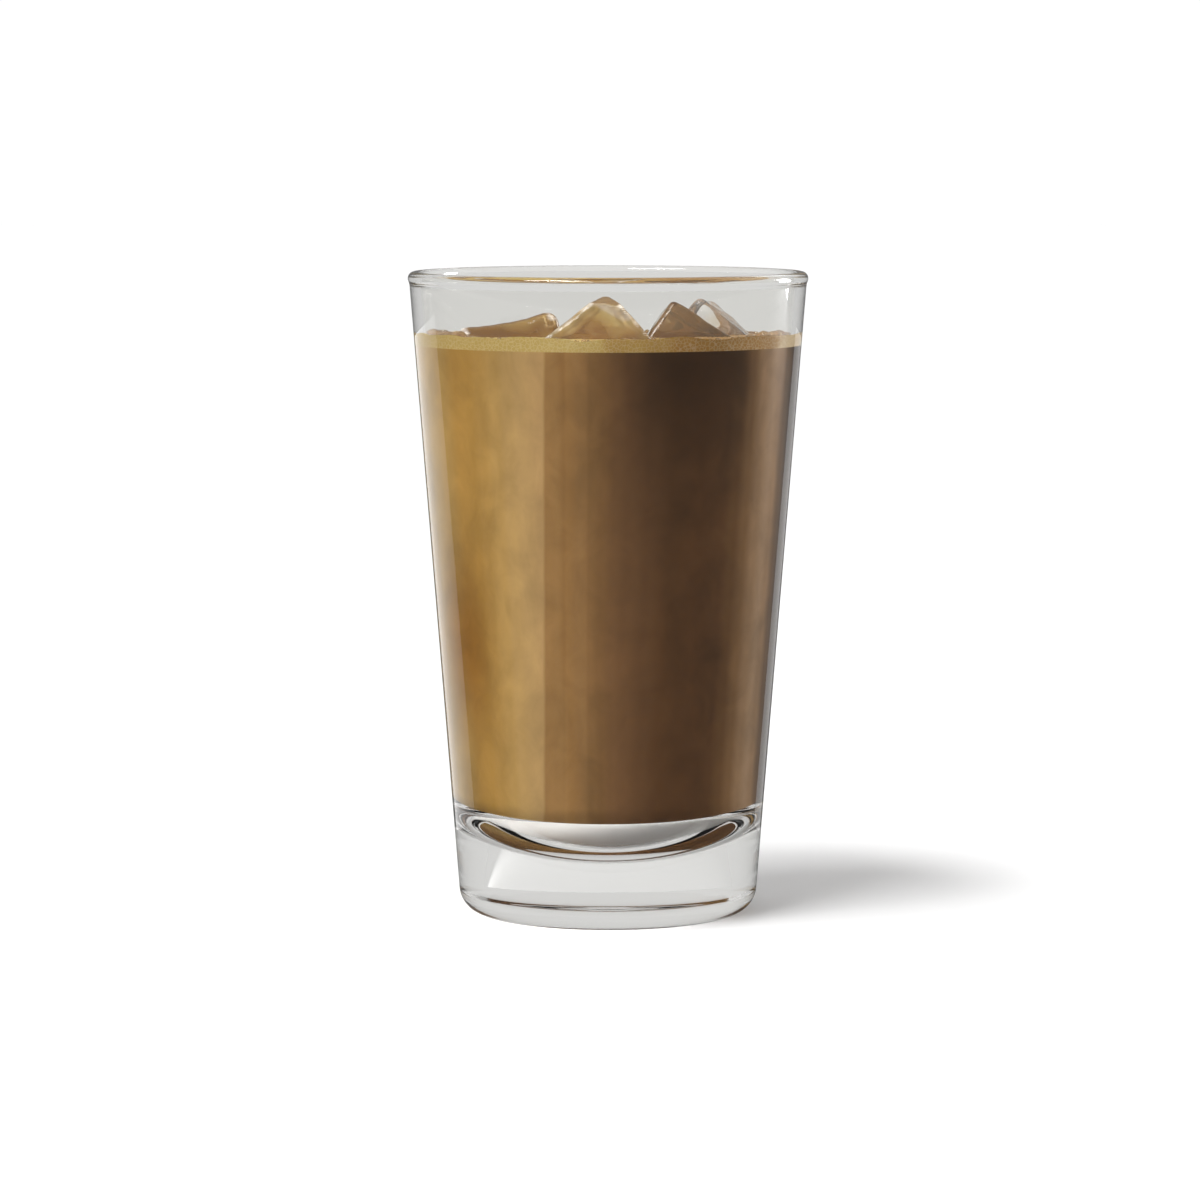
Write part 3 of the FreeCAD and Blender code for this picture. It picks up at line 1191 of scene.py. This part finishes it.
@dataclass
class Studio:
    """The floor, the lights and the camera."""

    distance: float = 1.0
    camera_height: float = 0.16125
    aim: tuple[float, float, float] = (-0.0016, 0.0, 0.0630)
    lens: float = 149.9
    sensor: float = 36.0
    floor_drop: float = -0.0001
    fill: float = 0.42
    mirrored: float = 0.22
    behind_glass: float = 0.72
    backdrop: float = 1.02
    keys: tuple[tuple[str, float, float, float], ...] = (
        ("key_front", 55.0, 58.0, 1.55), ("key_side", 30.0, 62.0, 1.23))
    key_spread: float = 18.0
    edge_watts: float = 6.0
    edge_place: tuple[float, float, float] = (0.85, 0.5, 0.2)
    edge_size: Span = (0.25, 0.5)
    panel_height: float = 0.110
    panels: tuple[tuple[str, float, float, Span, float], ...] = (
        ("left_panel", 235.6, 0.074, (1.3, 0.6), 0.0994), ("right_panel", 135.8, 0.035, (0.5, 0.5), 0.102))
    floor_half: float = 6.0
    floor_cells: int = 12

    def camera(self) -> None:
        """Adds the camera."""
        data = bpy.data.cameras.new("camera")
        data.lens = self.lens
        data.sensor_width = self.sensor
        data.clip_start = 0.01
        piece = new_object("camera", data)
        piece.location = (self.aim[0], -self.distance, self.camera_height)
        way = Vector(self.aim) - piece.location
        piece.rotation_euler = way.to_track_quat("-Z", "Y").to_euler()
        bpy.context.scene.camera = piece

    @staticmethod
    def area_lamp(name: str, size: Span, watts: float) -> Piece:
        """Adds a rectangular lamp.

        Args:
            name: The lamp's name.
            size: Its width and height.
            watts: Its power.

        Returns:
            The lamp.
        """
        data = bpy.data.lights.new(name, "AREA")
        data.shape = "RECTANGLE"
        data.size, data.size_y = size
        data.energy = watts
        return new_object(name, data)

    def panel(self, name: str, turn: float, width: float, radiance: Span, away: float) -> None:
        """Adds an upright lit panel that stands on the floor, faces the glass and shows only as a reflection.

        Args:
            name: The panel's name.
            turn: Degrees from the front, round by the right, at which it stands.
            width: Its width.
            radiance: How bright it is at its two ends, where 1 is white.
            away: Its distance from the axis.
        """
        piece = self.area_lamp(name, (width, self.panel_height), math.pi * width * self.panel_height)
        piece.data.use_nodes = True
        piece.data.node_tree.nodes.clear()
        graph = Graph(piece.data.node_tree)
        across = graph.parts(graph.add("NewGeometry").outputs["Parametric"])["X"]
        strength = graph.add("MapRange", Value=across, To_Min=radiance[0], To_Max=radiance[1]).outputs[0]
        light = graph.add("Emission", Color=(1.0, 1.0, 1.0), Strength=strength)
        graph.feed(graph.add("OutputLight").inputs["Surface"], light.outputs[0])
        way = math.radians(turn)
        piece.location = (away * math.sin(way), -away * math.cos(way), self.panel_height / 2)
        piece.rotation_euler = (math.pi / 2, 0.0, way)
        piece.visible_camera = piece.visible_diffuse = piece.visible_transmission = False

    def edge_lamp(self) -> None:
        """Adds a low soft lamp at the right rear, which lights the drink's right-hand edge."""
        piece = self.area_lamp("edge_lamp", self.edge_size, self.edge_watts)
        piece.location = self.edge_place
        piece.rotation_euler = (-Vector(self.edge_place)).to_track_quat("-Z", "Y").to_euler()
        piece.visible_camera = piece.visible_transmission = False

    def sunlight(self, name: str, turn: float, lift: float, strength: float) -> None:
        """Adds a main light, which is even over the whole floor.

        Args:
            name: The light's name.
            turn: Degrees from the left, round to the front, at which it stands.
            lift: Its height in degrees.
            strength: Its strength.
        """
        data = bpy.data.lights.new(name, "SUN")
        data.energy = strength
        data.angle = math.radians(self.key_spread)
        piece = new_object(name, data)
        turn, lift = math.radians(turn), math.radians(lift)
        way = Vector((-math.cos(turn) * math.cos(lift), -math.sin(turn) * math.cos(lift), math.sin(lift)))
        piece.location = way
        piece.visible_transmission = False
        piece.rotation_euler = (-way).to_track_quat("-Z", "Y").to_euler()

    def floor(self, effects: Effects) -> None:
        """Adds the floor.

        Args:
            effects: The shared effects.
        """
        cells, row = self.floor_cells, self.floor_cells + 1
        steps = [self.floor_half * (2 * i / cells - 1) for i in range(row)]
        verts = [(x, y, self.floor_drop) for y in steps for x in steps]
        corners = [i * row + j for i in range(cells) for j in range(cells)]
        faces = [(at, at + 1, at + row + 1, at + row) for at in corners]
        piece = add_mesh("floor", verts, faces)
        piece.data.materials.append(PaleFloor().material(effects))

    def surroundings(self) -> None:
        """Sets the light that comes from all round, and the brighter backdrop that is seen directly."""
        world = bpy.data.worlds.new("studio")
        world.use_nodes = True
        world.node_tree.nodes.clear()
        graph = Graph(world.node_tree)
        seen = graph.add("LightPath").outputs["Is Camera Ray"]
        plain = graph.add("MapRange", Value=seen, To_Min=self.fill, To_Max=self.backdrop).outputs[0]
        strength = graph.by_ray(plain, self.mirrored, self.behind_glass)
        light = graph.add("Background", Color=(1.0, 1.0, 1.0), Strength=strength)
        graph.feed(graph.add("OutputWorld").inputs["Surface"], light.outputs[0])
        scene = bpy.context.scene
        scene.world = world
        scene.view_settings.view_transform = "Standard"
        cycles = scene.cycles
        cycles.max_bounces = cycles.transmission_bounces = cycles.transparent_max_bounces = 24
        cycles.glossy_bounces = 8

    def build(self, effects: Effects) -> None:
        """Sets the whole studio.

        Args:
            effects: The shared effects.
        """
        self.camera()
        self.floor(effects)
        for key in self.keys:
            self.sunlight(*key)
        self.edge_lamp()
        for panel in self.panels:
            self.panel(*panel)
        self.surroundings()


# ---- Putting it together ----


def main() -> None:
    """Builds the object and the studio, and reports each piece."""
    logging.basicConfig(level=logging.INFO, format="%(message)s")
    effects = Effects()
    glass = Tumbler()
    ice = IcePieces().build(effects)
    drink = Drink(glass, surface=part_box("coffee")[1][2], froth_top=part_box("foam")[1][2])
    pieces = [glass.build(ClearGlass(), effects)]
    pieces.append(drink.build_coffee(MilkCoffee(), effects, ice))
    froth = drink.build_froth(Froth(), effects, ice)
    pieces += [froth, Bubbles(glass, froth).build(BubbleFilm(), effects)]
    pieces += ice
    Studio().build(effects)
    for piece in pieces:
        LOG.info("%s: %d faces", piece.name, len(piece.data.polygons))


if __name__ == "__main__":
    main()
